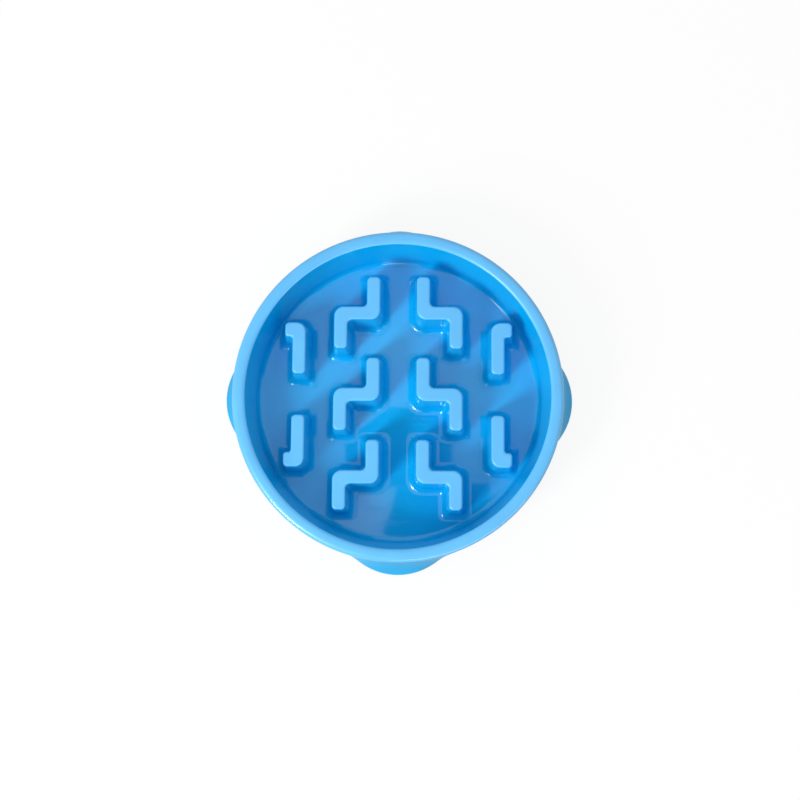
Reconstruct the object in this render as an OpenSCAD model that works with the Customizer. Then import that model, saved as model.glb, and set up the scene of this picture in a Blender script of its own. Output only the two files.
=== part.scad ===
// Slow feeder bowl: one moulded shell with a maze of hollow ridges, on four rubber pads.
// Millimetres, +Z up. The origin is on the table under the centre of the bowl, and
// -Y is the front.

/* [Bowl] */
// Outer diameter of the rim
rim_d = 201; // [165:0.5:235]
// Width of the rolled rim, from its inner edge to the outside
rim_w = 8; // [6:0.1:9]
// Height of the rim's crown above its inner edge
crown_rise = 1.6; // [1:0.1:2.4]
// Height of the lip that hangs outside the rim
lip_h = 6.5; // [5:0.1:8]
// Thickness of that lip
lip_t = 3; // [2.4:0.1:4]
// Depth of the bowl, from the rim's crown to the floor
bowl_depth = 34; // [30:0.5:42]
// Height of the floor's underside above the table
floor_lift = 6.8; // [5:0.1:12]
// Thickness of the floor and the inner wall
wall = 2.4; // [1.8:0.1:3.2]
// Draft of the inner wall, in degrees
wall_draft = 7.1; // [4:0.1:10]
// Fillet between the floor and the inner wall
floor_fillet = 3.5; // [2:0.1:6]
// Gap between the table and the ring under the floor
ring_gap = 2; // [1:0.1:3]

/* [Maze] */
// Height of the ridges above the floor
ridge_h = 24.8; // [18:0.1:30]
// Width of a ridge at its top
ridge_w = 8; // [6.5:0.1:10]
// Wall left around the hollow of a ridge
ridge_wall = 2.2; // [1.6:0.1:2.6]
// Draft of the ridges' sides, in degrees
ridge_draft = 6; // [3:0.1:8]
// Fillet where a ridge meets the floor
ridge_fillet = 4.4; // [2:0.1:5]
// Rounding of the ridges' top edges
ridge_edge_r = 1.3; // [0.8:0.1:1.6]
// Distance of the Z ridges' inner legs from the centre line
inner_leg_x = 15.3; // [13:0.1:18.5]
// Distance of the Z ridges' outer legs from the centre line
outer_leg_x = 35.5; // [30:0.1:42]
// Distance between the rows of Z ridges
row_pitch = 50.4; // [46:0.1:58]
// Length of the inner legs behind their cross bar
rear_leg = 22.6; // [18:0.1:26]
// Length of the outer legs in front of their cross bar
front_leg = 21.9; // [17.5:0.1:26]
// How much shorter the front row's outer legs are
front_row_cut = 2; // [0:0.1:4]
// Distance of the hooks' legs from the centre line
hook_x = 61; // [54:0.1:70]
// Distance of the hooks' near ends from the cross line
hook_near = 12.7; // [10:0.1:15.2]
// Distance of the hooks' far ends from the cross line
hook_far = 44.4; // [38:0.1:50]
// How far a hook turns out past its leg
hook_out = 4.6; // [3.8:0.1:5.4]
// Thickness of the part that turns out
hook_t = 8.8; // [7.2:0.1:10]
// How far the maze lies behind the middle of the bowl
maze_shift = 1.1; // [0:0.1:3]

/* [Feet] */
// How far the feet reach past the rim
foot_out = 8.6; // [6.5:0.1:11]
// Radius of a foot's outline, seen from above
foot_plan_r = 38.5; // [32:0.5:46]
// How far the drafted skirt reaches past the rim between the feet
skirt_out = 0.7; // [0.4:0.1:2.4]
// Softness of the blend between a foot and the skirt
foot_blend = 2; // [1:0.1:4]
// Height of a foot's upright edge
foot_edge_h = 6.5; // [4:0.1:9]
// Thickness of the skirt
skirt_t = 2; // [1.6:0.1:2.4]
// How far the lip stands proud of the skirt
lip_step = 0.8; // [0.4:0.1:1]
// Height of the finger arches between the feet
arch_h = 4; // [2:0.1:6]
// Rounding of the skirt's lower edge
toe_r = 1.4; // [1:0.1:1.6]

/* [Pads] */
// Thickness of a rubber pad
pad_t = 3.2; // [2.6:0.1:4]
// How far the pads stand below the skirt
pad_proud = 1.2; // [0.8:0.1:1.6]
// Gap around a pad in its foot
pad_gap = 0.5; // [0.3:0.1:0.8]
// Bevel around a pad's lower face
pad_bevel = 0.8; // [0.4:0.1:1.2]
// Half the angle that a pad spans, in degrees
pad_span = 13; // [11:0.1:15]
// Diameter of the pegs that hold a pad
peg_d = 5.4; // [4.4:0.1:6.4]
// Length of a peg's straight part
peg_len = 6; // [5:0.1:8]
// Height of a peg's tapered tip
peg_tip = 1; // [0.6:0.1:1.4]
// Radial clearance between a peg and its bore
peg_fit = 0.05; // [0.02:0.01:0.1]
// Thickness of the wall around a peg's bore
boss_t = 2.1; // [1.6:0.1:2.6]
// Angle of a boss from the middle of its foot, in degrees
boss_turn = 8.2; // [6:0.1:10]
// Distance of a boss from the inner wall's outside
boss_out = 6.4; // [6:0.1:7.6]
// Thickness of the ribs that carry the bosses
rib_t = 2; // [1.6:0.1:2.6]

/* [Hidden] */
$fn = 96;
overrun = 1;                    // how far a cut or a joint runs past its face
touch = 0.6;                    // how deep a ridge or the skirt sits in what carries it

// Heights
floor_z = floor_lift + wall;
top_z = floor_z + bowl_depth;
edge_z = top_z - crown_rise;
lip_z = top_z - lip_h;
ceiling_z = lip_z + lip_h / 2;
toe_z = pad_proud;

// The inner wall's two faces, as radii at a height
rim_r = rim_d / 2;
edge_r = rim_r - rim_w;
function wall_in_r(z) = edge_r - (edge_z - z) * tan(wall_draft);
function wall_out_r(z) = wall_in_r(z) + wall / cos(wall_draft);

// The crown is made of two quarter ellipses that meet at its peak
peak_share = 0.38;
crown_in_w = rim_w * peak_share;
crown_out_w = rim_w - crown_in_w;
crown_drop_share = 0.6;
crown_drop = lip_h * crown_drop_share;
lip_edge_r = lip_step / 2;

// Corner radii of the maze, at the ridges' top and where they meet the floor
bend_r = 5.8;
bend_foot_r = 9.8;
end_r = 2.7;
end_foot_r = 4.5;
nook_r = 3;
nook_foot_r = 1.5;
hook_nook_r = 1.8;
hook_nook_foot_r = 1;
edge_share = 0.47;              // most of an edge's length that one corner may take
corner_steps = 4;

// Foot outline
foot_reach = rim_r + foot_out;
waist_r = rim_r + skirt_out;
skirt_top_r = rim_r - lip_step;
skirt_top_z = lip_z + touch;
flare_power = 3.6;              // how late a foot flares out on its way down
arch_start = 18;                // where an arch starts and peaks, in degrees from its foot
arch_end = 45;
foot_turn = 90;                 // from one foot to the next, in degrees
skirt_steps = 96;
skirt_rows = 7;
skirt_in_rows = 5;

// Pads and what carries them
pad_in_r = wall_out_r(pad_t) + pad_gap;
boss_r = wall_out_r(pad_t) + boss_out;
bore_r = peg_d / 2 + peg_fit;
boss_body_r = bore_r + boss_t;
bore_end_z = pad_t + peg_len + peg_tip + pad_gap;
boss_top_z = bore_end_z + boss_t;
pad_steps = 24;
pad_cap_share = 0.8;            // share of a pad's span that keeps its full width
pad_tip_share = 0.98;           // how far the round of a pad's end goes before it is cut flat

// A closed tube of rings, the last joined back to the first
module ring_tube(rings) {
    rows = len(rings);
    n = len(rings[0]);
    polyhedron(
        points = [for (ring = rings) each ring],
        faces = [for (i = [0 : rows - 1], k = [0 : n - 1])
            let (j = (i + 1) % rows, m = (k + 1) % n)
            each [[i * n + k, j * n + m, j * n + k], [i * n + k, i * n + m, j * n + m]]]);
}

// A solid lofted through rings. Each flat cap is a ladder across the outline, whose
// first half runs along one side of the shape and whose second half comes back along
// the other
module ring_stack(rings) {
    rows = len(rings);
    n = len(rings[0]);
    last = (rows - 1) * n;
    polyhedron(
        points = [for (ring = rings) each ring],
        faces = concat(
            [for (k = [0 : n / 2 - 2])
                each [[k, k + 1, n - 2 - k], [k, n - 2 - k, n - 1 - k]]],
            [for (k = [0 : n / 2 - 2])
                each [[last + k, last + n - 2 - k, last + k + 1],
                    [last + k, last + n - 1 - k, last + n - 2 - k]]],
            [for (i = [0 : rows - 2], k = [0 : n - 1])
                let (j = i + 1, m = (k + 1) % n)
                each [[i * n + k, j * n + k, j * n + m], [i * n + k, j * n + m, i * n + m]]]));
}

// Arc points about a centre
function arc(centre, rx, ry, from, to, steps) =
    [for (i = [0 : steps]) let (a = from + (to - from) * i / steps)
        centre + [rx * cos(a), ry * sin(a)]];

// Inner wall, floor, rolled rim with its lip, and the ring under the floor, in one turn
module shell() {
    fillet_z = floor_z + floor_fillet * (1 - sin(wall_draft));
    fillet_centre = [wall_in_r(fillet_z) - floor_fillet * cos(wall_draft), floor_z + floor_fillet];
    peak = [edge_r + crown_in_w, edge_z];
    crown_base = [edge_r + crown_in_w, top_z - crown_drop];
    lip_in_r = rim_r - lip_t;
    ring_in_r = wall_out_r(floor_lift) - wall;
    rotate_extrude()
        polygon(concat(
            [[0, floor_lift], [0, floor_z]],
            arc(fillet_centre, floor_fillet, floor_fillet, 270, 360 - wall_draft, 8),
            arc(peak, crown_in_w, crown_rise, 180, 90, 6),
            [for (p = arc(crown_base, crown_out_w, crown_drop, 90, 0, 10)) if (p.x > peak.x) p],
            arc([rim_r - lip_edge_r, lip_z + lip_edge_r], lip_edge_r, lip_edge_r, 0, -90, 3),
            [[lip_in_r, lip_z], [lip_in_r, ceiling_z], [wall_out_r(ceiling_z), ceiling_z],
             [wall_out_r(ring_gap), ring_gap], [ring_in_r, ring_gap], [ring_in_r, floor_lift]]));
}

// One corner of a ridge outline: its place, the outward normals of the edges before and
// after it, its kind (1 outer, -1 inner), and its radius at the ridge's top and foot.
// The outlines run anticlockwise, down one side of the ridge and back up the other
function corner_radius(c, d) = let (share = d / ridge_spread) c[4] + (c[5] - c[4]) * share;
function corner_place(c, d) = c[0] + d * (c[1] + c[2]);
function corner_arc(corners, i, d) =
    let (
        n = len(corners),
        c = corners[i],
        p = corner_place(c, d),
        before = norm(p - corner_place(corners[(i + n - 1) % n], d)),
        after = norm(p - corner_place(corners[(i + 1) % n], d)),
        r = min(corner_radius(c, d), before * edge_share, after * edge_share),
        centre = p - c[3] * r * (c[1] + c[2]),
        from = atan2(c[3] * c[1].y, c[3] * c[1].x))
    [for (k = [0 : corner_steps])
        let (a = from + c[3] * 90 * k / corner_steps)
        centre + r * [cos(a), sin(a)]];
function ridge_outline(corners, d) = [for (i = [0 : len(corners) - 1]) each corner_arc(corners, i, d)];

left = [-1, 0];
right = [1, 0];
back = [0, 1];
front = [0, -1];
function bend(p, before, after) = [p, before, after, 1, bend_r, bend_foot_r];
function end(p, before, after) = [p, before, after, 1, end_r, end_foot_r];
function nook(p, before, after) = [p, before, after, -1, nook_r, nook_foot_r];
function small_nook(p, before, after) = [p, before, after, -1, hook_nook_r, hook_nook_foot_r];

half_w = ridge_w / 2;
function z_corners(cut) = [
    end([inner_leg_x - half_w, rear_leg], back, left),
    bend([inner_leg_x - half_w, -half_w], left, front),
    nook([outer_leg_x - half_w, -half_w], front, left),
    end([outer_leg_x - half_w, cut - front_leg], left, front),
    end([outer_leg_x + half_w, cut - front_leg], front, right),
    bend([outer_leg_x + half_w, half_w], right, back),
    nook([inner_leg_x + half_w, half_w], back, right),
    end([inner_leg_x + half_w, rear_leg], right, back)];
hook_corners = [
    end([hook_x + half_w + hook_out, hook_far], right, back),
    bend([hook_x - half_w, hook_far], back, left),
    end([hook_x - half_w, hook_near], left, front),
    end([hook_x + half_w, hook_near], front, right),
    small_nook([hook_x + half_w, hook_far - hook_t], right, front),
    end([hook_x + half_w + hook_out, hook_far - hook_t], front, right)];

// Side profile of a ridge: height above the floor, and spread past its top outline
foot_arc_z = ridge_fillet * (1 - sin(ridge_draft));
ridge_spread = (ridge_h - foot_arc_z) * tan(ridge_draft) + ridge_fillet * cos(ridge_draft);
foot_cut_angle = 12;            // where the fillet's flat end is cut off, in degrees
ridge_foot = arc([ridge_spread, ridge_fillet], ridge_fillet, ridge_fillet,
    270 - foot_cut_angle, 180 + ridge_draft, 3);
edge_in = ridge_edge_r * (1 - sin(ridge_draft)) / cos(ridge_draft);
ridge_top = arc([-edge_in, ridge_h - ridge_edge_r], ridge_edge_r, ridge_edge_r, ridge_draft, 90, 2);
ridge_rows = concat([[ridge_foot[0].x, -touch]], ridge_foot, ridge_top);
hollow_top_z = ridge_h - ridge_wall;
hollow_bevel_share = 0.2;       // bevel of a hollow's top edge, as a share of its wall
hollow_bevel = ridge_wall * hollow_bevel_share;
hollow_rows = [
    [(ridge_h + wall + overrun) * tan(ridge_draft) - ridge_wall, -wall - overrun],
    [(ridge_wall + hollow_bevel) * tan(ridge_draft) - ridge_wall, hollow_top_z - hollow_bevel],
    [-ridge_wall - hollow_bevel, hollow_top_z]];

module ridge(corners, rows) {
    ring_stack([for (row = rows)
        [for (p = ridge_outline(corners, row.x)) [p.x, p.y, floor_z + row.y]]]);
}

// Six Z ridges in three rows and four hooks beside them, mirrored left and right
module maze(rows) {
    for (side = [0, 1])
        mirror([side, 0, 0])
            translate([0, maze_shift, 0]) {
                for (row = [-1 : 1])
                    translate([0, row * row_pitch, 0])
                        ridge(z_corners(row == -1 ? front_row_cut : 0), rows);
                for (half = [0, 1])
                    mirror([0, half, 0])
                        ridge(hook_corners, rows);
            }
}

// Outline of the skirt's lower edge: a round waist and four feet, blended
function soft_max(a, b, blend) = (a + b + sqrt(pow(a - b, 2) + blend * blend)) / 2;
foot_peak = foot_reach - foot_blend * foot_blend / (4 * (foot_reach - waist_r));
function from_foot(angle) = let (a = (angle + foot_turn / 2) % foot_turn) a - foot_turn / 2;
function foot_edge_r(phi) =
    let (c = foot_peak - foot_plan_r)
    c * cos(phi) + sqrt(max(0, pow(foot_plan_r, 2) - pow(c * sin(phi), 2)));
function base_r(phi) = soft_max(foot_edge_r(phi), waist_r, foot_blend);
function skirt_r(phi, share) =
    skirt_top_r + (waist_r - skirt_top_r) * share + (base_r(phi) - waist_r) * pow(share, flare_power);
function arch_z(phi) =
    let (t = max(0, min(1, (abs(phi) - arch_start) / (arch_end - arch_start))))
    arch_h * (1 - cos(180 * t)) / 2;
function skirt_z(phi, share) =
    let (low = toe_z + arch_z(phi) + foot_edge_h)
    skirt_top_z - share * (skirt_top_z - low);
function skirt_ring(share, inset, drop) =
    [for (k = [0 : skirt_steps - 1])
        let (
            angle = 360 * k / skirt_steps,
            phi = from_foot(angle),
            r = skirt_r(phi, share) - inset)
        [r * cos(angle), r * sin(angle), skirt_z(phi, share) - drop]];

// Skirt with its four flared feet, as one lofted shell
module skirt() {
    outside = [for (i = [0 : skirt_rows]) skirt_ring(i / skirt_rows, 0, 0)];
    edge_drop = foot_edge_h - toe_r;
    toe = [for (a = [0, 45, 90]) skirt_ring(1, toe_r * (1 - cos(a)), edge_drop + toe_r * sin(a))];
    inside = concat(
        [skirt_ring(1, skirt_t, foot_edge_h)],
        [for (i = [skirt_in_rows : -1 : 0]) skirt_ring(i / skirt_in_rows, skirt_t, 0)]);
    ring_tube(concat(outside, toe, inside));
}

// Boss and rib that carry one peg, with the skirt's own curve along the rib
module peg_boss(turn) {
    rib_rows = 10;
    skirt_low_z = toe_z + foot_edge_h;
    function rib_out(z) =
        skirt_r(turn, min(1, (skirt_top_z - z) / (skirt_top_z - skirt_low_z))) - skirt_t / 2;
    rib_top_z = ceiling_z + touch;
    rotate([0, 0, turn]) {
        translate([boss_r, 0, pad_t])
            cylinder(h = boss_top_z - pad_t, r = boss_body_r);
        rotate([90, 0, 0])
            translate([0, 0, -rib_t / 2])
                linear_extrude(height = rib_t)
                    polygon(concat(
                        [[wall_out_r(pad_t) - wall / 2, pad_t],
                         [wall_out_r(rib_top_z) - wall / 2, rib_top_z],
                         [rim_r - lip_t / 2, rib_top_z]],
                        [for (i = [rib_rows : -1 : 0])
                            let (z = pad_t + (skirt_top_z - pad_t) * i / rib_rows) [rib_out(z), z]]));
    }
}

module at_pegs() {
    for (side = [-1, 1])
        rotate([0, 0, side * boss_turn])
            translate([boss_r, 0, 0])
                children();
}

module bowl() {
    color("dodgerblue")
        difference() {
            union() {
                shell();
                maze(ridge_rows);
                skirt();
                for (foot = [0 : 3], side = [-1, 1])
                    rotate([0, 0, foot * foot_turn])
                        peg_boss(side * boss_turn);
            }
            maze(hollow_rows);
            for (foot = [0 : 3])
                rotate([0, 0, foot * foot_turn])
                    at_pegs()
                        translate([0, 0, pad_t - overrun])
                            cylinder(h = bore_end_z - pad_t + overrun, r = bore_r);
        }
}

// Outline of a pad: it follows the foot outside and the ring under the floor inside
function pad_ring(inset, z) =
    let (
        span = pad_span - inset / pad_in_r * 180 / PI,
        flat = pad_span * pad_cap_share,
        rows = [for (i = [0 : pad_steps])
            let (
                phi = span * sin(-90 + 180 * i / pad_steps),
                past = max(0, (abs(phi) - flat) / (span - flat)) * pad_tip_share,
                full = sqrt(1 - past * past),
                low = pad_in_r + inset,
                high = base_r(phi) - skirt_t - pad_gap - inset,
                mid = (low + high) / 2)
            [phi, mid + (high - mid) * full, mid + (low - mid) * full]])
    concat(
        [for (i = [0 : pad_steps]) let (p = rows[i]) [p[1] * cos(p[0]), p[1] * sin(p[0]), z]],
        [for (i = [pad_steps : -1 : 0]) let (p = rows[i]) [p[2] * cos(p[0]), p[2] * sin(p[0]), z]]);

// Rubber pad for the foot at an angle, with its two pegs
module foot_pad(foot) {
    color("dimgray")
        rotate([0, 0, foot * foot_turn]) {
            ring_stack([for (row = [[pad_bevel, 0], [0, pad_bevel], [0, pad_t]])
                pad_ring(row.x, row.y)]);
            at_pegs() {
                translate([0, 0, pad_t / 2])
                    cylinder(h = pad_t / 2 + peg_len, r = peg_d / 2);
                translate([0, 0, pad_t + peg_len])
                    cylinder(h = peg_tip, r1 = peg_d / 2, r2 = peg_d / 2 - peg_tip);
            }
        }
}

module foot_pad_right() { foot_pad(0); }
module foot_pad_rear() { foot_pad(1); }
module foot_pad_left() { foot_pad(2); }
module foot_pad_front() { foot_pad(3); }

bowl();
foot_pad_front();
foot_pad_right();
foot_pad_rear();
foot_pad_left();
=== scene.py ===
import math

import bmesh
import bpy
from mathutils import Matrix, Vector


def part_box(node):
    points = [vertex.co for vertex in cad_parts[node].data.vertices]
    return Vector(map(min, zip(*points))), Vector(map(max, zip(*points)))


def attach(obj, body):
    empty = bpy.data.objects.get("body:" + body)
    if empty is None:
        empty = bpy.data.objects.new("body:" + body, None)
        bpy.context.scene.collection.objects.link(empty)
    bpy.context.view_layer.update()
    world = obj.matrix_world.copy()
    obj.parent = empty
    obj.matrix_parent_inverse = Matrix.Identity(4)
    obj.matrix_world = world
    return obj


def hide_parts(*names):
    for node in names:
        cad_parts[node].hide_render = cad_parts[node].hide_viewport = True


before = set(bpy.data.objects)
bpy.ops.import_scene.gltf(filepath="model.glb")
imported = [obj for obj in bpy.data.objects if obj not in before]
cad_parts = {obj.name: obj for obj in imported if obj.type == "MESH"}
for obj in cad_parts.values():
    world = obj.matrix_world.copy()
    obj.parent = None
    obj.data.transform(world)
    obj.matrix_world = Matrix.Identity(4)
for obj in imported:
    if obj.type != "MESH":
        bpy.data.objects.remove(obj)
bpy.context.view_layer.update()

# Camera: it looks almost straight down on the bowl, from a little in front of it, as a
# person does who holds it over the table.
MM = 0.001
SENSOR_W = 36.0
PHOTO_W = 800.0
FOCAL_PX = 1209.0
CAMERA_NEAR = 0.05
CAMERA_PLACE = Vector((17.7, -80.75, 766.93)) * MM
CAMERA_TILT = 0.1065
CAMERA_SWING = 0.0222
CAMERA_ROLL = 0.0055

camera_data = bpy.data.cameras.new("camera")
camera_data.sensor_width = SENSOR_W
camera_data.lens = FOCAL_PX / PHOTO_W * SENSOR_W
camera_data.clip_start = CAMERA_NEAR
camera = bpy.data.objects.new("camera", camera_data)
bpy.context.scene.collection.objects.link(camera)
camera.matrix_world = (
    Matrix.Translation(CAMERA_PLACE)
    @ Matrix.Rotation(CAMERA_TILT, 4, "X")
    @ Matrix.Rotation(CAMERA_SWING, 4, "Y")
    @ Matrix.Rotation(CAMERA_ROLL, 4, "Z")
)
bpy.context.scene.camera = camera

# Shell: the round body of the moulding, one side profile turned about the centre. It has
# the floor, the drafted inner wall, the rolled rim with its lip, the flared skirt with its
# four feet, and the stiffening ring under the floor. All lengths here are millimetres.
QUARTER = 90.0
TURN = 360.0
TURN_STEPS = 384
TOP_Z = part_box("bowl")[1].z / MM
FOOT_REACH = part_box("bowl")[1].x / MM
RIM_R = 100.5
RIM_W = 8.0
CROWN_RISE = 1.6
LIP_H = 6.5
LIP_T = 3.0
FLOOR_LIFT = 6.8
WALL = 2.4
WALL_DRAFT = math.radians(7.1)
FLOOR_FILLET = 3.5
FLOOR_RUN = 1.5
RING_GAP = 2.0
RING_NOOK_R = 1.0
RING_RUN = 2.5
PEAK_SHARE = 0.38
CROWN_DROP_SHARE = 0.6
SHOULDER_ROUND = 0.72
LIP_STEP = 0.8
SOFT_EDGE = 0.5
SKIRT_OUT = 0.7
SKIRT_T = 2.0
TOE_R = 1.4
TOE_Z = 1.2
FOOT_PLAN_R = 38.5
FOOT_BLEND = 2.0
FOOT_EDGE_H = 6.5
FLARE_POWER = 3.6
ARCH_H = 4.0
ARCH_START = 18.0
ARCH_END = 45.0
SINK = 0.6
FILLET_STEPS = 12
CROWN_STEPS = 10
SHOULDER_STEPS = 30
LIP_STEPS = 5
SKIRT_ROWS = 24
SKIRT_IN_ROWS = 12
TOE_STEPS = 6
SOFT_STEPS = 4
NOOK_STEPS = 6

FLOOR_Z = FLOOR_LIFT + WALL
EDGE_Z = TOP_Z - CROWN_RISE
LIP_Z = TOP_Z - LIP_H
CEILING_Z = LIP_Z + LIP_H / 2
EDGE_R = RIM_R - RIM_W
WAIST_R = RIM_R + SKIRT_OUT
SKIRT_TOP_R = RIM_R - LIP_STEP
SKIRT_TOP_Z = LIP_Z + SINK
FOOT_PEAK = FOOT_REACH - FOOT_BLEND**2 / (4 * (FOOT_REACH - WAIST_R))


def wall_in_r(z):
    return EDGE_R - (EDGE_Z - z) * math.tan(WALL_DRAFT)


def wall_out_r(z):
    return wall_in_r(z) + WALL / math.cos(WALL_DRAFT)


def arc(centre, rx, ry, start, end, steps):
    """Points of an ellipse's arc, between two angles in degrees."""
    angles = [math.radians(start + (end - start) * i / steps) for i in range(steps + 1)]
    return [(centre[0] + rx * math.cos(a), centre[1] + ry * math.sin(a)) for a in angles]


def from_foot(angle):
    """Degrees between a direction and the middle of the nearest foot."""
    return (angle + QUARTER / 2) % QUARTER - QUARTER / 2


def base_r(phi):
    """Radius of the skirt's lower edge: a round waist blended with a foot's round front."""
    offset = FOOT_PEAK - FOOT_PLAN_R
    swing = math.radians(phi)
    inside = FOOT_PLAN_R**2 - (offset * math.sin(swing)) ** 2
    foot = offset * math.cos(swing) + math.sqrt(max(0.0, inside))
    return (foot + WAIST_R + math.sqrt((foot - WAIST_R) ** 2 + FOOT_BLEND**2)) / 2


def skirt_low_z(phi):
    """Height of the top of the skirt's upright edge, which rises over the arches."""
    t = max(0.0, min(1.0, (abs(phi) - ARCH_START) / (ARCH_END - ARCH_START)))
    return TOE_Z + FOOT_EDGE_H + ARCH_H * (1 - math.cos(math.pi * t)) / 2


def skirt_point(phi, share, inset=0.0):
    """A point on the skirt's side, from its top (share 0) to its lower edge (share 1)."""
    flare = (base_r(phi) - WAIST_R) * share**FLARE_POWER
    radius = SKIRT_TOP_R + (WAIST_R - SKIRT_TOP_R) * share + flare - inset
    return radius, SKIRT_TOP_Z - share * (SKIRT_TOP_Z - skirt_low_z(phi))


def shoulder(centre, width, height):
    """The rim's outer shoulder: nearly flat, then round a tight corner to upright."""
    points = []
    for step in range(1, SHOULDER_STEPS + 1):
        turn = math.radians(QUARTER * step / SHOULDER_STEPS)
        across = math.sin(turn) ** SHOULDER_ROUND
        up = max(0.0, math.cos(turn)) ** SHOULDER_ROUND
        points.append((centre[0] + width * across, centre[1] + height * up))
    return points


def inner_profile():
    """From the floor's edge up the inner wall, over the rim and round the lip's edge."""
    fillet = FLOOR_FILLET
    fillet_z = FLOOR_Z + fillet * (1 - math.sin(WALL_DRAFT))
    fillet_r = wall_in_r(fillet_z) - fillet * math.cos(WALL_DRAFT)
    crown_in = RIM_W * PEAK_SHARE
    crown_drop = LIP_H * CROWN_DROP_SHARE
    peak_r = EDGE_R + crown_in
    lip_r = LIP_STEP / 2
    draft = math.degrees(WALL_DRAFT)
    return (
        [(fillet_r - FLOOR_RUN, FLOOR_Z)]
        + arc((fillet_r, FLOOR_Z + fillet), fillet, fillet, 270, 360 - draft, FILLET_STEPS)
        + arc((peak_r, EDGE_Z), crown_in, CROWN_RISE, 180, 90, CROWN_STEPS)
        + shoulder((peak_r, TOP_Z - crown_drop), RIM_W - crown_in, crown_drop)
        + arc((RIM_R - lip_r, LIP_Z + lip_r), lip_r, lip_r, 0, -90, LIP_STEPS)
    )


def skirt_profile(phi):
    """Down the skirt's outside, round its toe and up its inside."""
    top_share = SINK / (SKIRT_TOP_Z - skirt_low_z(phi))
    outside = [
        skirt_point(phi, top_share + (1 - top_share) * i / SKIRT_ROWS)
        for i in range(SKIRT_ROWS + 1)
    ]
    radius, low = outside[-1]
    toe = arc((radius - TOE_R, low - FOOT_EDGE_H + TOE_R), TOE_R, TOE_R, 0, -90, TOE_STEPS)
    inside = [
        skirt_point(phi, 1 - (1 - top_share) * i / SKIRT_IN_ROWS, SKIRT_T)
        for i in range(SKIRT_IN_ROWS + 1)
    ]
    return outside + toe + [(radius - SKIRT_T, low - FOOT_EDGE_H)] + inside


def under_profile():
    """Up inside the lip, down the wall's outside, round the ring and back under the floor."""
    lip_in = RIM_R - LIP_T
    ring_in = wall_out_r(FLOOR_LIFT) - WALL
    wall_top = wall_out_r(CEILING_Z)
    foot = wall_out_r(RING_GAP)
    e = SOFT_EDGE
    nook = RING_NOOK_R
    return (
        [(lip_in, LIP_Z)]
        + arc((lip_in - e, CEILING_Z - e), e, e, 0, 90, SOFT_STEPS)
        + arc((wall_top + e, CEILING_Z - e), e, e, 90, 180, SOFT_STEPS)
        + arc((foot - e, RING_GAP + e), e, e, 0, -90, SOFT_STEPS)
        + arc((ring_in + e, RING_GAP + e), e, e, -90, -180, SOFT_STEPS)
        + arc((ring_in - nook, FLOOR_LIFT - nook), nook, nook, 0, 90, NOOK_STEPS)
        + [(ring_in - RING_RUN, FLOOR_LIFT)]
    )


def new_object(name, verts, faces):
    mesh = bpy.data.meshes.new(name)
    mesh.from_pydata([Vector(v) * MM for v in verts], [], faces)
    mesh.validate()
    obj = bpy.data.objects.new(name, mesh)
    bpy.context.scene.collection.objects.link(obj)
    return obj


def face_out(obj):
    """Turns a closed solid's faces outward."""
    bm = bmesh.new()
    bm.from_mesh(obj.data)
    bmesh.ops.recalc_face_normals(bm, faces=bm.faces)
    bm.to_mesh(obj.data)
    bm.free()


def loft(name, rings):
    """A closed solid through rings of points, with a flat face on the first and the last."""
    n = len(rings[0])
    faces = [
        (i * n + k, i * n + (k + 1) % n, (i + 1) * n + (k + 1) % n, (i + 1) * n + k)
        for i in range(len(rings) - 1)
        for k in range(n)
    ]
    last = (len(rings) - 1) * n
    faces += [tuple(reversed(range(n))), tuple(last + k for k in range(n))]
    solid = new_object(name, [p for ring in rings for p in ring], faces)
    face_out(solid)
    return solid


def evaluated_mesh(obj):
    """The object's mesh with its modifiers applied."""
    bpy.context.view_layer.update()
    shaped = obj.evaluated_get(bpy.context.evaluated_depsgraph_get())
    mesh = bpy.data.meshes.new_from_object(shaped)
    obj.modifiers.clear()
    return mesh


def combine(target, tools, operation):
    """Joins the tools to the target solid, or cuts them out of it, and removes them."""
    for tool in tools:
        step = target.modifiers.new("combine", "BOOLEAN")
        step.operation = operation
        step.solver = "MANIFOLD"
        step.object = tool
    target.data = evaluated_mesh(target)
    for tool in tools:
        bpy.data.objects.remove(tool)


turned = []
for step in range(TURN_STEPS):
    heading = TURN * step / TURN_STEPS
    profile = inner_profile() + skirt_profile(from_foot(heading)) + under_profile()
    east, north = math.cos(math.radians(heading)), math.sin(math.radians(heading))
    turned.append([(r * east, r * north, z) for r, z in profile])
bowl = loft("bowl_moulding", [list(ring) for ring in zip(*turned)])

# Maze: ten hollow ridges that stand on the floor, six Z shapes in three rows and four hooks
# beside them. Their sides are drafted, their feet run into the floor in fillets, and the
# moulding tool's core leaves them open from below.
RIDGE_H = 24.8
RIDGE_W = 8.0
RIDGE_WALL = 2.2
DRAFT_ANGLE = 6.0
RIDGE_DRAFT = math.radians(DRAFT_ANGLE)
RIDGE_FILLET = 4.4
RIDGE_EDGE_R = 1.3
RIDGE_TOP_RUN = 0.6
INNER_LEG_X = 15.3
OUTER_LEG_X = 35.5
ROW_PITCH = 50.4
REAR_LEG = 22.6
FRONT_LEG = 21.9
FRONT_ROW_CUT = 2.0
HOOK_X = 61.0
HOOK_NEAR = 12.7
HOOK_FAR = 44.4
HOOK_OUT = 4.6
HOOK_T = 8.8
MAZE_SHIFT = 1.1
EDGE_SHARE = 0.47
CORNER_STEPS = 10
RIDGE_FOOT_STEPS = 12
RIDGE_EDGE_STEPS = 8
CONTACT_ANGLE = 2.0
CONTACT_DEPTH = 0.003
MOUTH_R = 0.8
ROOF_R = 0.7
HOLLOW_STEPS = 5
OVERRUN = 1.0

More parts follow.
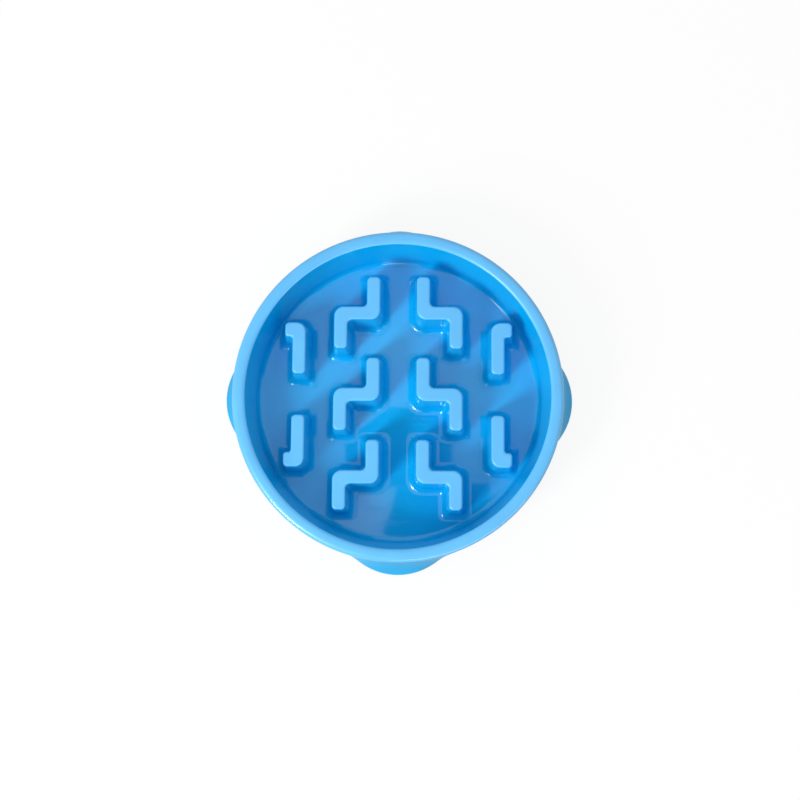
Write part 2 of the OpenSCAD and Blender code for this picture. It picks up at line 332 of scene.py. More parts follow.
# A corner's kind (1 outer, -1 inner) and its radius at the ridge's top and at its foot
BEND = (1, 5.8, 9.8)
END = (1, 2.7, 4.5)
NOOK = (-1, 3.0, 1.5)
HOOK_NOOK = (-1, 1.8, 1.0)
WEST, EAST, NORTH, SOUTH = (-1, 0), (1, 0), (0, 1), (0, -1)

foot_arc_h = RIDGE_FILLET * (1 - math.sin(RIDGE_DRAFT))
drafted_out = (RIDGE_H - foot_arc_h) * math.tan(RIDGE_DRAFT)
RIDGE_SPREAD = drafted_out + RIDGE_FILLET * math.cos(RIDGE_DRAFT)


def z_corners(cut):
    half = RIDGE_W / 2
    return [
        ((INNER_LEG_X - half, REAR_LEG), NORTH, WEST, END),
        ((INNER_LEG_X - half, -half), WEST, SOUTH, BEND),
        ((OUTER_LEG_X - half, -half), SOUTH, WEST, NOOK),
        ((OUTER_LEG_X - half, cut - FRONT_LEG), WEST, SOUTH, END),
        ((OUTER_LEG_X + half, cut - FRONT_LEG), SOUTH, EAST, END),
        ((OUTER_LEG_X + half, half), EAST, NORTH, BEND),
        ((INNER_LEG_X + half, half), NORTH, EAST, NOOK),
        ((INNER_LEG_X + half, REAR_LEG), EAST, NORTH, END),
    ]


def hook_corners():
    half = RIDGE_W / 2
    tip = HOOK_X + half + HOOK_OUT
    return [
        ((tip, HOOK_FAR), EAST, NORTH, END),
        ((HOOK_X - half, HOOK_FAR), NORTH, WEST, BEND),
        ((HOOK_X - half, HOOK_NEAR), WEST, SOUTH, END),
        ((HOOK_X + half, HOOK_NEAR), SOUTH, EAST, END),
        ((HOOK_X + half, HOOK_FAR - HOOK_T), EAST, SOUTH, HOOK_NOOK),
        ((tip, HOOK_FAR - HOOK_T), SOUTH, EAST, END),
    ]


def ridge_outline(corners, spread):
    """A ridge's outline seen from above, at a distance past the outline of its top."""
    places = [
        Vector(p) + spread * (Vector(before) + Vector(after)) for p, before, after, _ in corners
    ]
    outline = []
    for i, (_, before, after, (side, top_r, foot_r)) in enumerate(corners):
        room = min(
            (places[i] - places[i - 1]).length,
            (places[i] - places[(i + 1) % len(places)]).length,
        )
        radius = top_r + (foot_r - top_r) * spread / RIDGE_SPREAD
        radius = min(radius, room * EDGE_SHARE)
        centre = places[i] - side * radius * (Vector(before) + Vector(after))
        start = math.degrees(math.atan2(side * before[1], side * before[0]))
        outline += arc(centre, radius, radius, start, start + side * QUARTER, CORNER_STEPS)
    return outline


def ridge_rows():
    """A ridge's side: its spread past the top outline and its height above the floor."""
    draft = math.degrees(RIDGE_DRAFT)
    fillet = RIDGE_FILLET
    edge_r = RIDGE_EDGE_R
    foot_centre = (RIDGE_SPREAD, fillet)
    foot = arc(foot_centre, fillet, fillet, 270 - CONTACT_ANGLE, 180 + draft, RIDGE_FOOT_STEPS)
    run_out = (foot[0][1] + CONTACT_DEPTH) / math.tan(math.radians(CONTACT_ANGLE))
    contact = (foot[0][0] + run_out, -CONTACT_DEPTH)
    edge_in = edge_r * (1 - math.sin(RIDGE_DRAFT)) / math.cos(RIDGE_DRAFT)
    edge = arc((-edge_in, RIDGE_H - edge_r), edge_r, edge_r, draft, 90, RIDGE_EDGE_STEPS)
    top = (-edge_in - RIDGE_TOP_RUN, RIDGE_H)
    return [(contact[0], -SINK), contact] + foot + edge + [top]


def hollow_rows():
    """The hollow inside a ridge, open below the floor, with a rounded mouth and roof."""
    slope = math.tan(RIDGE_DRAFT)
    mouth = (RIDGE_H + WALL) * slope - RIDGE_WALL
    roof_z = RIDGE_H - RIDGE_WALL
    roof = RIDGE_WALL * slope - RIDGE_WALL
    mouth_centre = (mouth + MOUTH_R, MOUTH_R - WALL)
    roof_centre = (roof - ROOF_R, roof_z - ROOF_R)
    lead = arc(mouth_centre, MOUTH_R, MOUTH_R, 270, 180 + DRAFT_ANGLE, HOLLOW_STEPS)
    crown = arc(roof_centre, ROOF_R, ROOF_R, DRAFT_ANGLE, 90, HOLLOW_STEPS)
    return [(lead[0][0], -WALL - OVERRUN)] + lead + crown


def ridges(rows):
    """All ten ridges, or all their hollows, as separate solids."""
    solids = []
    shapes = []
    for row in (-1, 0, 1):
        cut = FRONT_ROW_CUT if row < 0 else 0
        shapes.append((z_corners(cut), row * ROW_PITCH, 1))
    shapes += [(hook_corners(), 0, 1), (hook_corners(), 0, -1)]
    for corners, shift, flip in shapes:
        for side in (1, -1):
            rings = [
                [
                    (side * x, flip * y + shift + MAZE_SHIFT, FLOOR_Z + height)
                    for x, y in ridge_outline(corners, spread)
                ]
                for spread, height in rows
            ]
            solids.append(loft("ridge", rings))
    return solids


combine(bowl, ridges(ridge_rows()), "UNION")
combine(bowl, ridges(hollow_rows()), "DIFFERENCE")

# Bosses: two round sockets under each foot take a pad's pegs. Each is closed above and
# held by a rib between the inner wall and the skirt, moulded with the shell.
FEET = 4
PAD_T = 3.2
PAD_GAP = 0.5
PEG_R = 2.7
PEG_LEN = 6.0
PEG_TIP = 1.0
PEG_FIT = 0.05
BOSS_T = 2.1
BOSS_TURN = 8.2
BOSS_OUT = 6.4
BOSS_R = wall_out_r(PAD_T) + BOSS_OUT
RIB_T = 2.0
RIB_ROWS = 12
ROUND_STEPS = 48


def turned_z(obj, degrees):
    obj.data.transform(Matrix.Rotation(math.radians(degrees), 4, "Z"))
    return obj


def drum(radii, centre_r=0, turn=0):
    """A round solid that stands at a radius and a turn, from (radius, height) pairs."""
    rings = []
    for radius, z in radii:
        circle = arc((0, 0), radius, radius, 0, TURN, ROUND_STEPS)[:-1]
        rings.append([(centre_r + x, y, z) for x, y in circle])
    return turned_z(loft("drum", rings), turn)


def rib(turn, phi):
    """A thin plate that runs from the inner wall to the skirt and up under the rim."""
    top = CEILING_Z + SINK
    run = SKIRT_TOP_Z - TOE_Z - FOOT_EDGE_H
    side = [
        (wall_out_r(PAD_T) - WALL / 2, PAD_T),
        (wall_out_r(top) - WALL / 2, top),
        (RIM_R - LIP_T / 2, top),
    ]
    for i in range(RIB_ROWS + 1):
        z = SKIRT_TOP_Z + (PAD_T - SKIRT_TOP_Z) * i / RIB_ROWS
        share = min(1.0, (SKIRT_TOP_Z - z) / run)
        side.append((skirt_point(phi, share)[0] - SKIRT_T / 2, z))
    faces = [[(r, y, z) for r, z in side] for y in (-RIB_T / 2, RIB_T / 2)]
    return turned_z(loft("rib", faces), turn)


bore_r = PEG_R + PEG_FIT
bore_end = PAD_T + PEG_LEN + PEG_TIP + PAD_GAP
boss_r = bore_r + BOSS_T
bosses, ribs, bores = [], [], []
for foot in range(FEET):
    for side in (-1, 1):
        turn = foot * QUARTER + side * BOSS_TURN
        bosses.append(drum([(boss_r, PAD_T), (boss_r, bore_end + BOSS_T)], BOSS_R, turn))
        ribs.append(rib(turn, BOSS_TURN))
        bores.append(drum([(bore_r, PAD_T - OVERRUN), (bore_r, bore_end)], BOSS_R, turn))
combine(bowl, ribs + bosses, "UNION")
combine(bowl, bores, "DIFFERENCE")

# Marks of the moulding tool on the floor's underside: the round scars of the ejector pins
# and the gate in the middle, where the plastic was injected.
PIN_R = 3.0
PIN_DEPTH = 0.15
PIN_PLACES = [(0, 28), (0, 52), (26, 15), (26, 66), (50, 2), (50, 58)]
GATE_R = 4.5
GATE_DEPTH = 0.5
GATE_STUB_R = 1.1
GATE_STUB_LIFT = 0.1

cut_from = FLOOR_LIFT - OVERRUN
gate_roof = FLOOR_LIFT + GATE_DEPTH
scars = []
for x, y in PIN_PLACES:
    for mx in {x, -x}:
        for my in {y, -y}:
            scar = drum([(PIN_R, cut_from), (PIN_R, FLOOR_LIFT + PIN_DEPTH)])
            scar.data.transform(Matrix.Translation(Vector((mx, my, 0)) * MM))
            scars.append(scar)
scars.append(drum([(GATE_R, cut_from), (GATE_R - GATE_DEPTH, gate_roof)]))
combine(bowl, scars, "DIFFERENCE")
stub = drum([(GATE_STUB_R, FLOOR_LIFT + GATE_STUB_LIFT), (GATE_STUB_R, gate_roof + SINK)])
combine(bowl, [stub], "UNION")

SHARP = math.radians(34)
LARGE_FACES_FIRST = 100


def smooth(obj):
    """Smooth shading that keeps crisp edges and leaves large flat faces flat."""
    obj.data.set_sharp_from_angle(angle=SHARP)
    for face in obj.data.polygons:
        face.use_smooth = True
    even = obj.modifiers.new("even_shading", "WEIGHTED_NORMAL")
    even.keep_sharp = True
    even.weight = LARGE_FACES_FIRST
    obj.data = evaluated_mesh(obj)


smooth(bowl)
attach(bowl, "root")
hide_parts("bowl")

# Finish of the moulding: one blue polypropylene. The tool's polished faces leave it
# glossy, and a fine spark-eroded grain leaves the rim's crown and the ridges' tops satin.
# The crown and the tops are also painted a paler blue as painted light, for the stronger
# light that falls on them. Hands have polished the rim's outer shoulder again.
DEEP_BLUE = (0.002, 0.392, 0.768, 1)
# The paler second blue is painted light on the up-facing crown and tops.
PAINTED_LIGHT_BLUE = (0.104, 0.452, 0.83, 1)
DUST_GREY = (0.62, 0.66, 0.7, 1)
PLASTIC_IOR = 1.49
SATIN_AND_PAINTED_LIGHT_Z = (29.5 * MM, 32.5 * MM)
PAINTED_LIGHT_TILT = (0.3, 0.6)
SATIN_TILT = (0.62, 0.88)
SHOULDER_W = 2.7
SHOULDER_TILT = (0.84, 0.98)
STEEP_TILT = (0.12, 0.4)
MASK_SOFT = 0.5
# The skirt's colour is scaled down by this share as painted shade.
PAINTED_SKIRT_SHADE = 0.85
SKIRT_SHEEN = 0.42
POLISH = 0.018
DRAWN = 0.17
SATIN = 0.34
FLOW_TONE = (0.3, 0.7, 0.97, 1.03)
HAZE = (0.35, 0.75, 0.0, 0.012)
LINE_HAZE = 0.05
DUST_HAZE = 0.12
DUST_VEIL = 0.12
SINK_MARK = 0.05 * MM
SINK_MARKS_PER_METRE = 24.0
PIT_DEPTH = 0.006 * MM
LINE_DEPTH = 0.0012 * MM


def link(tree, source, target):
    tree.links.new(source, target)


def add(tree, kind, **values):
    node = tree.nodes.new(kind)
    for name, value in values.items():
        setattr(node, name, value)
    return node


def feed(tree, term, target):
    """Sets a socket to a plain value, or links another socket to it."""
    if isinstance(term, (int, float, tuple)):
        target.default_value = term
    else:
        link(tree, term, target)


def value_math(tree, operation, *terms):
    """A math node on sockets or plain numbers."""
    node = add(tree, "ShaderNodeMath", operation=operation)
    for i, term in enumerate(terms):
        feed(tree, term, node.inputs[i])
    return node.outputs[0]


def times(tree, first, second):
    return value_math(tree, "MULTIPLY", first, second)


def plus(tree, first, second):
    return value_math(tree, "ADD", first, second)


def minus(tree, first, second):
    return value_math(tree, "SUBTRACT", first, second)


def most(tree, first, second):
    return value_math(tree, "MAXIMUM", first, second)


def ramp(tree, value, low, high, to_low=0.0, to_high=1.0):
    """Maps a value from one range to another with soft ends."""
    node = add(tree, "ShaderNodeMapRange", interpolation_type="SMOOTHSTEP")
    node.inputs["From Min"].default_value = low
    node.inputs["From Max"].default_value = high
    node.inputs["To Min"].default_value = to_low
    node.inputs["To Max"].default_value = to_high
    link(tree, value, node.inputs["Value"])
    return node.outputs["Result"]


def mixed_colour(tree, share, low, high):
    node = add(tree, "ShaderNodeMix", data_type="RGBA", blend_type="MIX")
    for name, term in (("Factor", share), ("A", low), ("B", high)):
        feed(tree, term, node.inputs[name])
    return node.outputs["Result"]


def object_place(tree):
    return add(tree, "ShaderNodeTexCoord").outputs["Object"]


def surface_normal(tree):
    return add(tree, "ShaderNodeNewGeometry").outputs["Normal"]


def split(tree, vector):
    node = add(tree, "ShaderNodeSeparateXYZ")
    link(tree, vector, node.inputs[0])
    return node.outputs


def noise(tree, place, scale, detail=2.0):
    node = add(tree, "ShaderNodeTexNoise")
    node.inputs["Detail"].default_value = detail
    link(tree, place, node.inputs["Vector"])
    feed(tree, scale, node.inputs["Scale"])
    return node.outputs["Fac"]


def relief(tree, shader, height):
    """Small relief on the surface, from its height in metres."""
    bump = add(tree, "ShaderNodeBump")
    bump.inputs["Distance"].default_value = 1.0
    link(tree, height, bump.inputs["Height"])
    link(tree, bump.outputs["Normal"], shader.inputs["Normal"])


def material(name):
    made = bpy.data.materials.new(name)
    made.use_nodes = True
    tree = made.node_tree
    return made, tree, tree.nodes["Principled BSDF"]


def effect(name, inputs, outputs):
    """An empty node group with named value sockets, for an effect that materials share."""
    made = bpy.data.node_groups.new(name, "ShaderNodeTree")
    for label in inputs:
        made.interface.new_socket(label, in_out="INPUT", socket_type="NodeSocketFloat")
    for label in outputs:
        made.interface.new_socket(label, in_out="OUTPUT", socket_type="NodeSocketFloat")
    return made, made.nodes.new("NodeGroupInput").outputs, made.nodes.new("NodeGroupOutput").inputs


def use(tree, made, **values):
    """Places an effect in a material, with its own values."""
    node = add(tree, "ShaderNodeGroup", node_tree=made)
    for name, value in values.items():
        node.inputs[name.replace("_", " ").title()].default_value = value
    return node.outputs


# Grain that the tool's surface prints on a moulding: small soft pits in a broad mottle
COARSE_PIT_SHARE = 0.6
MOTTLE_PER_METRE = 42.0

grain, given, gives = effect("tool_grain", ["Pits Per Metre"], ["Pits", "Mottle"])
place = object_place(grain)
cells = add(grain, "ShaderNodeTexVoronoi", feature="SMOOTH_F1")
link(grain, place, cells.inputs["Vector"])
link(grain, given["Pits Per Metre"], cells.inputs["Scale"])
rough = noise(grain, place, times(grain, given["Pits Per Metre"], COARSE_PIT_SHARE))
link(grain, plus(grain, cells.outputs["Distance"], rough), gives["Pits"])
link(grain, noise(grain, place, MOTTLE_PER_METRE, 3.0), gives["Mottle"])

# Hairlines from washing: two sets of long thin streaks that cross
LINE_TURNS = (0.5, 2.1)
LINE_TILT = (0.2, 0.1)
LINE_STRETCH = (0.03, 1.0, 0.6)
LINE_CRISPNESS = 12.0

hairlines, given, gives = effect("wash_hairlines", ["Lines Per Metre", "Cover"], ["Lines"])
place = object_place(hairlines)
streaks = []
for turn in LINE_TURNS:
    along = add(hairlines, "ShaderNodeMapping")
    along.inputs["Rotation"].default_value = (*LINE_TILT, turn)
    along.inputs["Scale"].default_value = LINE_STRETCH
    link(hairlines, place, along.inputs["Vector"])
    field = noise(hairlines, along.outputs["Vector"], given["Lines Per Metre"], 1.0)
    gap = minus(hairlines, field, minus(hairlines, 1.0, given["Cover"]))
    streaks.append(times(hairlines, gap, LINE_CRISPNESS))
link(hairlines, ramp(hairlines, most(hairlines, *streaks), 0.0, 1.0), gives["Lines"])

# Dust that settles on whatever faces up, in fine specks
SPECK_SHARE = 0.75
DRIFT_SHARE = 0.25
DRIFTS_PER_METRE = 30.0
SPECK_SOFT = 0.08
DUST_TILT = (0.3, 0.9)

dust, given, gives = effect("settled_dust", ["Specks Per Metre", "Cover"], ["Dust"])
place = object_place(dust)
facing = split(dust, surface_normal(dust))
speck = times(dust, noise(dust, place, given["Specks Per Metre"], 1.0), SPECK_SHARE)
drift = times(dust, noise(dust, place, DRIFTS_PER_METRE), DRIFT_SHARE)
level = minus(dust, plus(dust, speck, drift), minus(dust, 1.0, given["Cover"]))
grey = ramp(dust, level, 0.0, SPECK_SOFT)
link(dust, times(dust, grey, ramp(dust, facing["Z"], *DUST_TILT)), gives["Dust"])

plastic, tree, shader = material("moulded_blue_plastic")
place = object_place(tree)
axes = split(tree, place)
tilt = split(tree, surface_normal(tree))
flat_place = add(tree, "ShaderNodeVectorMath", operation="MULTIPLY")
flat_place.inputs[1].default_value = (1, 1, 0)
link(tree, place, flat_place.inputs[0])
from_centre = add(tree, "ShaderNodeVectorMath", operation="LENGTH")
link(tree, flat_place.outputs[0], from_centre.inputs[0])
radius = from_centre.outputs["Value"]


def past_radius(limit):
    """1 outside a radius in millimetres, and 0 inside it."""
    return ramp(tree, radius, (limit - MASK_SOFT) * MM, (limit + MASK_SOFT) * MM)


# Where the surface is painted paler as painted light, satin, polished by hands, or part of the
# skirt, which is painted darker as painted shade
high = ramp(tree, axes["Z"], *SATIN_AND_PAINTED_LIGHT_Z)
painted_light = times(tree, high, ramp(tree, tilt["Z"], *PAINTED_LIGHT_TILT))
satin = times(tree, high, ramp(tree, tilt["Z"], *SATIN_TILT))
turned_down = ramp(tree, tilt["Z"], *SHOULDER_TILT, 1.0, 0.0)
handled = times(tree, past_radius(RIM_R - SHOULDER_W), turned_down)
satin = times(tree, satin, minus(tree, 1.0, handled))
below_lip = ramp(tree, axes["Z"], (LIP_Z - 2 * MASK_SOFT) * MM, LIP_Z * MM, 1.0, 0.0)
skirt = times(tree, past_radius(RIM_R), below_lip)
steep = ramp(tree, value_math(tree, "ABSOLUTE", tilt["Z"]), *STEEP_TILT, DRAWN, POLISH)
tool = use(tree, grain, pits_per_metre=3200.0)
lines = use(tree, hairlines, lines_per_metre=900.0, cover=0.36)["Lines"]
specks = use(tree, dust, specks_per_metre=1400.0, cover=0.3)["Dust"]

# Colour: painted light makes the up-facing crown and tops paler, and painted shade makes the skirt
# darker
tone = mixed_colour(tree, painted_light, DEEP_BLUE, PAINTED_LIGHT_BLUE)
flow_and_skirt_shade = ramp(tree, tool["Mottle"], *FLOW_TONE)
# Painted shade: the skirt below the lip is painted darker.
flow_and_skirt_shade = times(tree, flow_and_skirt_shade, ramp(tree, skirt, 0.0, 1.0, 1.0, PAINTED_SKIRT_SHADE))
toned = add(tree, "ShaderNodeVectorMath", operation="SCALE")
link(tree, tone, toned.inputs[0])
link(tree, flow_and_skirt_shade, toned.inputs["Scale"])
dusty = mixed_colour(tree, times(tree, specks, DUST_VEIL), toned.outputs[0], DUST_GREY)
link(tree, dusty, shader.inputs["Base Color"])

# Gloss
sheen = most(tree, ramp(tree, satin, 0.0, 1.0, POLISH, SATIN), steep)
sheen = most(tree, sheen, times(tree, skirt, SKIRT_SHEEN))
hazy = plus(tree, sheen, ramp(tree, tool["Mottle"], *HAZE))
marked = plus(tree, times(tree, lines, LINE_HAZE), times(tree, specks, DUST_HAZE))
link(tree, plus(tree, hazy, marked), shader.inputs["Roughness"])
shader.inputs["IOR"].default_value = PLASTIC_IOR

# Relief
sink = times(tree, noise(tree, place, SINK_MARKS_PER_METRE, 1.0), SINK_MARK)
pits = times(tree, times(tree, tool["Pits"], satin), PIT_DEPTH)
cuts = times(tree, lines, -LINE_DEPTH)
relief(tree, shader, plus(tree, sink, plus(tree, pits, cuts)))
bowl.data.materials.clear()
bowl.data.materials.append(plastic)

# Pads: four pieces of black rubber that keep the bowl from sliding. Each follows its foot's
# outline, is held by two pegs pressed into the bosses, and has shallow grooves for grip.
# The rubber has an even pitted grain, grey where it rubs on the table, with dusty pores.
PAD_BEVEL = 0.8
PAD_TOP_R = 0.3
PAD_SPAN = 13.0
PAD_CAP_SHARE = 0.8
PAD_TIP_SHARE = 0.98
PAD_STEPS = 64
PAD_BEVEL_STEPS = 6
PAD_TOP_STEPS = 3
PAD_IN_R = wall_out_r(PAD_T) + PAD_GAP
PAD_MIDDLE_R = (PAD_IN_R + FOOT_REACH - SKIRT_T - PAD_GAP) / 2
GROOVE_W = 1.1
GROOVE_DEPTH = 0.5
GROOVE_FLARE = 0.2
GROOVE_TAPER = 0.1
GROOVE_SPAN = 11.0
GROOVE_PITCH = 3.6
GROOVE_STEPS = 32
RUBBER_BLACK = (0.016, 0.017, 0.019, 1)
RUBBED_GREY = (0.06, 0.061, 0.064, 1)
PORE_DUST = (0.3, 0.29, 0.27, 1)
PORE_DUST_VEIL = 0.3
RUBBED_H = 0.6 * MM
RUBBED_MOTTLE = (0.3, 0.6)
RUBBER_ROUGHNESS = (0.3, 0.7, 0.58, 0.74)
RUBBER_PIT_DEPTH = 0.03 * MM


def pad_outline(inset, z):
    span = PAD_SPAN - math.degrees(inset / PAD_IN_R)
    flat = PAD_SPAN * PAD_CAP_SHARE
    outer, inner = [], []
    for i in range(PAD_STEPS + 1):
        phi = span * math.sin(math.pi * (i / PAD_STEPS - 0.5))
        past = max(0.0, (abs(phi) - flat) / (span - flat)) * PAD_TIP_SHARE
        full = math.sqrt(1 - past * past)
        low = PAD_IN_R + inset
        high = base_r(phi) - SKIRT_T - PAD_GAP - inset
        mid = (low + high) / 2
        east, north = math.cos(math.radians(phi)), math.sin(math.radians(phi))
        for row, r in ((outer, mid + (high - mid) * full), (inner, mid + (low - mid) * full)):
            row.append((r * east, r * north, z))
    return outer + inner[::-1]


def groove(radius):
    """A curved bar with a slanted section, which cuts one groove into a pad's lower face."""
    mouth = GROOVE_W / 2 + GROOVE_FLARE
    bed = GROOVE_W / 2 - GROOVE_TAPER
    section = [(-mouth, -OVERRUN), (mouth, -OVERRUN), (bed, GROOVE_DEPTH), (-bed, GROOVE_DEPTH)]
    rings = []
    for i in range(GROOVE_STEPS + 1):
        phi = math.radians(GROOVE_SPAN * (2 * i / GROOVE_STEPS - 1))
        east, north = math.cos(phi), math.sin(phi)
        rings.append([((radius + r) * east, (radius + r) * north, z) for r, z in section])
    return loft("groove", rings)


rubber, tree, shader = material("black_rubber")
axes = split(tree, object_place(tree))
tool = use(tree, grain, pits_per_metre=1500.0)
lines = use(tree, hairlines, lines_per_metre=500.0, cover=0.42)["Lines"]
specks = use(tree, dust, specks_per_metre=900.0, cover=0.4)["Dust"]
near_table = ramp(tree, axes["Z"], 0.0, RUBBED_H, 1.0, 0.0)
rubbed = times(tree, near_table, ramp(tree, tool["Mottle"], *RUBBED_MOTTLE))
tone = mixed_colour(tree, most(tree, rubbed, lines), RUBBER_BLACK, RUBBED_GREY)
dusty = mixed_colour(tree, times(tree, specks, PORE_DUST_VEIL), tone, PORE_DUST)
link(tree, dusty, shader.inputs["Base Color"])
link(tree, ramp(tree, tool["Mottle"], *RUBBER_ROUGHNESS), shader.inputs["Roughness"])
relief(tree, shader, times(tree, tool["Pits"], RUBBER_PIT_DEPTH))

peg_top = PAD_T + PEG_LEN
peg = [(PEG_R, PAD_T / 2), (PEG_R, peg_top), (PEG_R - PEG_TIP, peg_top + PEG_TIP)]
bevel_centre = (PAD_BEVEL, PAD_BEVEL)
bevel = arc(bevel_centre, PAD_BEVEL, PAD_BEVEL, 270, 180, PAD_BEVEL_STEPS)
top = arc((PAD_TOP_R, PAD_T - PAD_TOP_R), PAD_TOP_R, PAD_TOP_R, 180, 90, PAD_TOP_STEPS)
for foot, place in enumerate(("right", "rear", "left", "front")):
    pad = loft(f"rubber_pad_{place}", [pad_outline(inset, z) for inset, z in bevel + top])
    combine(pad, [drum(peg, BOSS_R, side * BOSS_TURN) for side in (-1, 1)], "UNION")
    grooves = [groove(PAD_MIDDLE_R + step * GROOVE_PITCH) for step in (-1, 0, 1)]
    combine(pad, grooves, "DIFFERENCE")
    turned_z(pad, foot * QUARTER)
    smooth(pad)
    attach(pad, "root")
    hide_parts(f"foot_pad_{place}")
    pad.data.materials.clear()
    pad.data.materials.append(rubber)

# Studio: a white table in an even white room, with a tall soft key light from the front
# left. Gloss also mirrors what hangs around the bowl there: dark cards overhead, two soft
# glows beside them and two bright windows. The cards' places are on a ceiling at height 1.
TABLE_SIZE = 3.0
TABLE_WHITE = 0.85
TABLE_BOUNCE = 0.3
TABLE_GLOW = 0.88
TABLE_ROUGHNESS = 0.6
ROOM_SEEN = 1.0
ROOM_LIGHT = 0.78
ROOM_LOW = 0.75
ROOM_RISE = (0.1, 0.4)
CEILING_RISE = (0.4, 0.6)
CARD_DEPTH = 0.96
CARD_EDGE = 0.002
MAIN_CARD_X = (-0.068, 0.0215)
MAIN_CARD_Y = (0.035, 0.102)
MAIN_CARD_SLANT = (-0.6, 0.8)
MAIN_CARD_CUT = 0.101
SIDE_CARD_X = 0.053
SIDE_CARD_Y = (-0.05, 0.038)
SIDE_CARD_SLANT = (0.96, -0.28)
SIDE_CARD_CUT = -0.034
GLOW_CORE_SHARE = 0.3
WINDOW_SIDE_EDGE = 0.12
WINDOW_SILL_EDGE = 0.04

table_mesh = bpy.data.meshes.new("table_top")
half = TABLE_SIZE / 2
corners = [(-half, -half, 0), (half, -half, 0), (half, half, 0), (-half, half, 0)]
table_mesh.from_pydata(corners, [], [(0, 1, 2, 3)])
table = bpy.data.objects.new("table_top", table_mesh)
bpy.context.scene.collection.objects.link(table)


def seen_rays(tree):
    """1 for rays that show the backdrop: from the camera, off gloss or through glass."""
    paths = add(tree, "ShaderNodeLightPath").outputs
    seen = most(tree, paths["Is Camera Ray"], paths["Is Glossy Ray"])
    return most(tree, seen, paths["Is Transmission Ray"])


white, tree, shader = material("table_white")
bounce = ramp(tree, seen_rays(tree), 0.0, 1.0, TABLE_BOUNCE, TABLE_WHITE)
link(tree, bounce, shader.inputs["Base Color"])
shader.inputs["Roughness"].default_value = TABLE_ROUGHNESS
shader.inputs["Specular IOR Level"].default_value = 0.0
glow = add(tree, "ShaderNodeEmission")
mixed = add(tree, "ShaderNodeMixShader")
link(tree, times(tree, seen_rays(tree), TABLE_GLOW), mixed.inputs["Fac"])
link(tree, shader.outputs[0], mixed.inputs[1])
link(tree, glow.outputs[0], mixed.inputs[2])
link(tree, mixed.outputs[0], tree.nodes["Material Output"].inputs["Surface"])
table_mesh.materials.append(white)

world = bpy.data.worlds.new("room")
bpy.context.scene.world = world
world.use_nodes = True
tree = world.node_tree
direction = split(tree, add(tree, "ShaderNodeTexCoord").outputs["Generated"])


def overhead(axis):
    """Where a direction meets a ceiling at height 1, along X or Y."""
    return value_math(tree, "DIVIDE", direction[axis], direction["Z"])


def slanted(x_share, y_share):
    """A place on the ceiling along a slanted line, for a card's cut corner."""
    return plus(tree, times(tree, overhead("X"), x_share), times(tree, overhead("Y"), y_share))


def rising(place, edge, soft):
    """0 before a soft edge and 1 past it."""
    return ramp(tree, place, edge - soft, edge + soft)


def falling(place, edge, soft):
    """1 before a soft edge and 0 past it."""
    return ramp(tree, place, edge - soft, edge + soft, 1.0, 0.0)


def card(above, below):
    """A dark card on the ceiling, cut from soft edges that its face lies above or below."""
    mask = ramp(tree, direction["Z"], *CEILING_RISE)
    for place, edge in above:
        mask = times(tree, mask, rising(place, edge, CARD_EDGE))
    for place, edge in below:
        mask = times(tree, mask, falling(place, edge, CARD_EDGE))
    return mask


def glow_spot(x, y, radius, strength):
    """A soft round glow on the ceiling."""
    away_x = value_math(tree, "POWER", minus(tree, overhead("X"), x), 2.0)
    away_y = value_math(tree, "POWER", minus(tree, overhead("Y"), y), 2.0)
    away = value_math(tree, "SQRT", plus(tree, away_x, away_y))
    return ramp(tree, away, radius * GLOW_CORE_SHARE, radius, strength, 0.0)


def window(azimuth, elevation, strength):
    """A soft bright window in the room that gloss mirrors, between two azimuths and heights."""
    heading = value_math(tree, "ARCTAN2", direction["Y"], direction["X"])
    sides = [math.radians(a) for a in azimuth]
    heights = [math.sin(math.radians(e)) for e in elevation]
    mask = strength
    for place, (low, high), soft in (
        (heading, sides, WINDOW_SIDE_EDGE),
        (direction["Z"], heights, WINDOW_SILL_EDGE),
    ):
        mask = times(tree, mask, rising(place, low, soft))
        mask = times(tree, mask, falling(place, high, soft))
    return mask


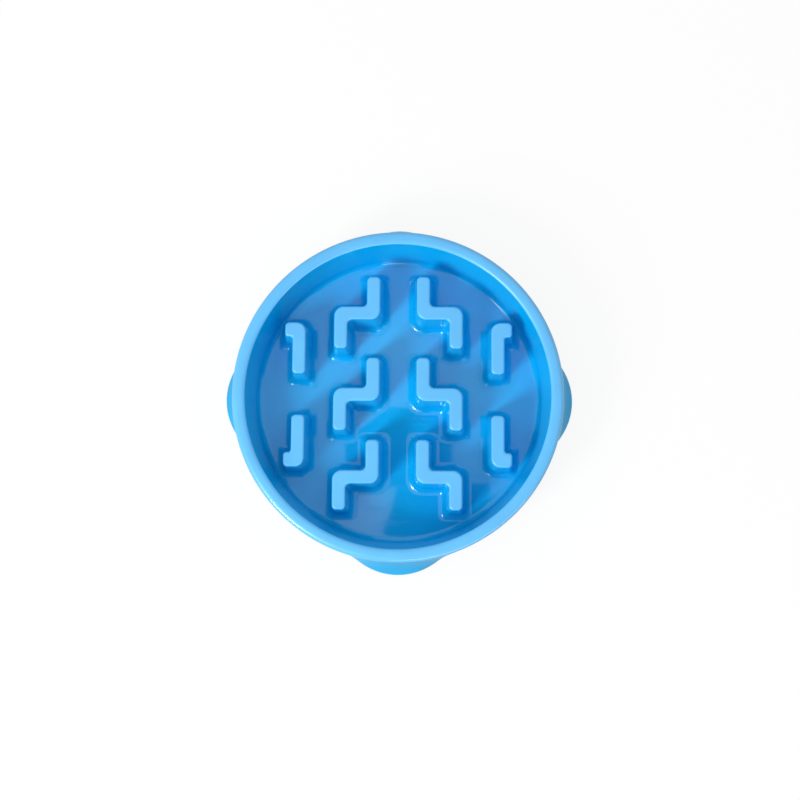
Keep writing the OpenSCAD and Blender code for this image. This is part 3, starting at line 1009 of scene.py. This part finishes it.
main_card = card(
    above=[(overhead("X"), MAIN_CARD_X[0]), (overhead("Y"), MAIN_CARD_Y[0])],
    below=[
        (overhead("X"), MAIN_CARD_X[1]),
        (overhead("Y"), MAIN_CARD_Y[1]),
        (slanted(*MAIN_CARD_SLANT), MAIN_CARD_CUT),
    ],
)
side_card = card(
    above=[(slanted(*SIDE_CARD_SLANT), SIDE_CARD_CUT), (overhead("Y"), SIDE_CARD_Y[0])],
    below=[(overhead("X"), SIDE_CARD_X), (overhead("Y"), SIDE_CARD_Y[1])],
)
dark = most(tree, main_card, side_card)
bright = [
    glow_spot(x=-0.03, y=0.125, radius=0.12, strength=0.45),
    glow_spot(x=-0.052, y=0.018, radius=0.035, strength=0.8),
    window(azimuth=(-158, -114), elevation=(30, 46), strength=6.0),
    window(azimuth=(-92, -32), elevation=(8, 30), strength=4.0),
]
seen_room = ROOM_SEEN
for spot in bright:
    seen_room = plus(tree, spot, seen_room)

room = tree.nodes["Background"]
room.inputs["Color"].default_value = (1, 1, 1, 1)
room_light = ramp(tree, direction["Z"], *ROOM_RISE, ROOM_LOW, ROOM_LIGHT)
link(tree, room_light, room.inputs["Strength"])
backdrop = add(tree, "ShaderNodeBackground")
backdrop.inputs["Color"].default_value = (1, 1, 1, 1)
lit = times(tree, seen_room, ramp(tree, dark, 0.0, 1.0, 1.0, 1.0 - CARD_DEPTH))
link(tree, lit, backdrop.inputs["Strength"])
mixed = add(tree, "ShaderNodeMixShader")
link(tree, seen_rays(tree), mixed.inputs["Fac"])
link(tree, room.outputs[0], mixed.inputs[1])
link(tree, backdrop.outputs[0], mixed.inputs[2])
link(tree, mixed.outputs[0], tree.nodes["World Output"].inputs["Surface"])


def softbox(name, azimuth, elevation, distance, width, height, power):
    """A rectangular lamp that faces the bowl from a direction in degrees."""
    data = bpy.data.lights.new(name, "AREA")
    data.shape = "RECTANGLE"
    data.size = width
    data.size_y = height
    data.energy = power
    lamp = bpy.data.objects.new(name, data)
    bpy.context.scene.collection.objects.link(lamp)
    a, e = math.radians(azimuth), math.radians(elevation)
    level = math.cos(e)
    lamp.location = Vector((math.cos(a) * level, math.sin(a) * level, math.sin(e))) * distance
    lamp.rotation_mode = "QUATERNION"
    lamp.rotation_quaternion = lamp.location.to_track_quat("Z", "Y")


softbox("key_light", azimuth=222, elevation=36, distance=1.5, width=0.34, height=0.7, power=17.0)

bpy.context.scene.view_settings.view_transform = "Standard"
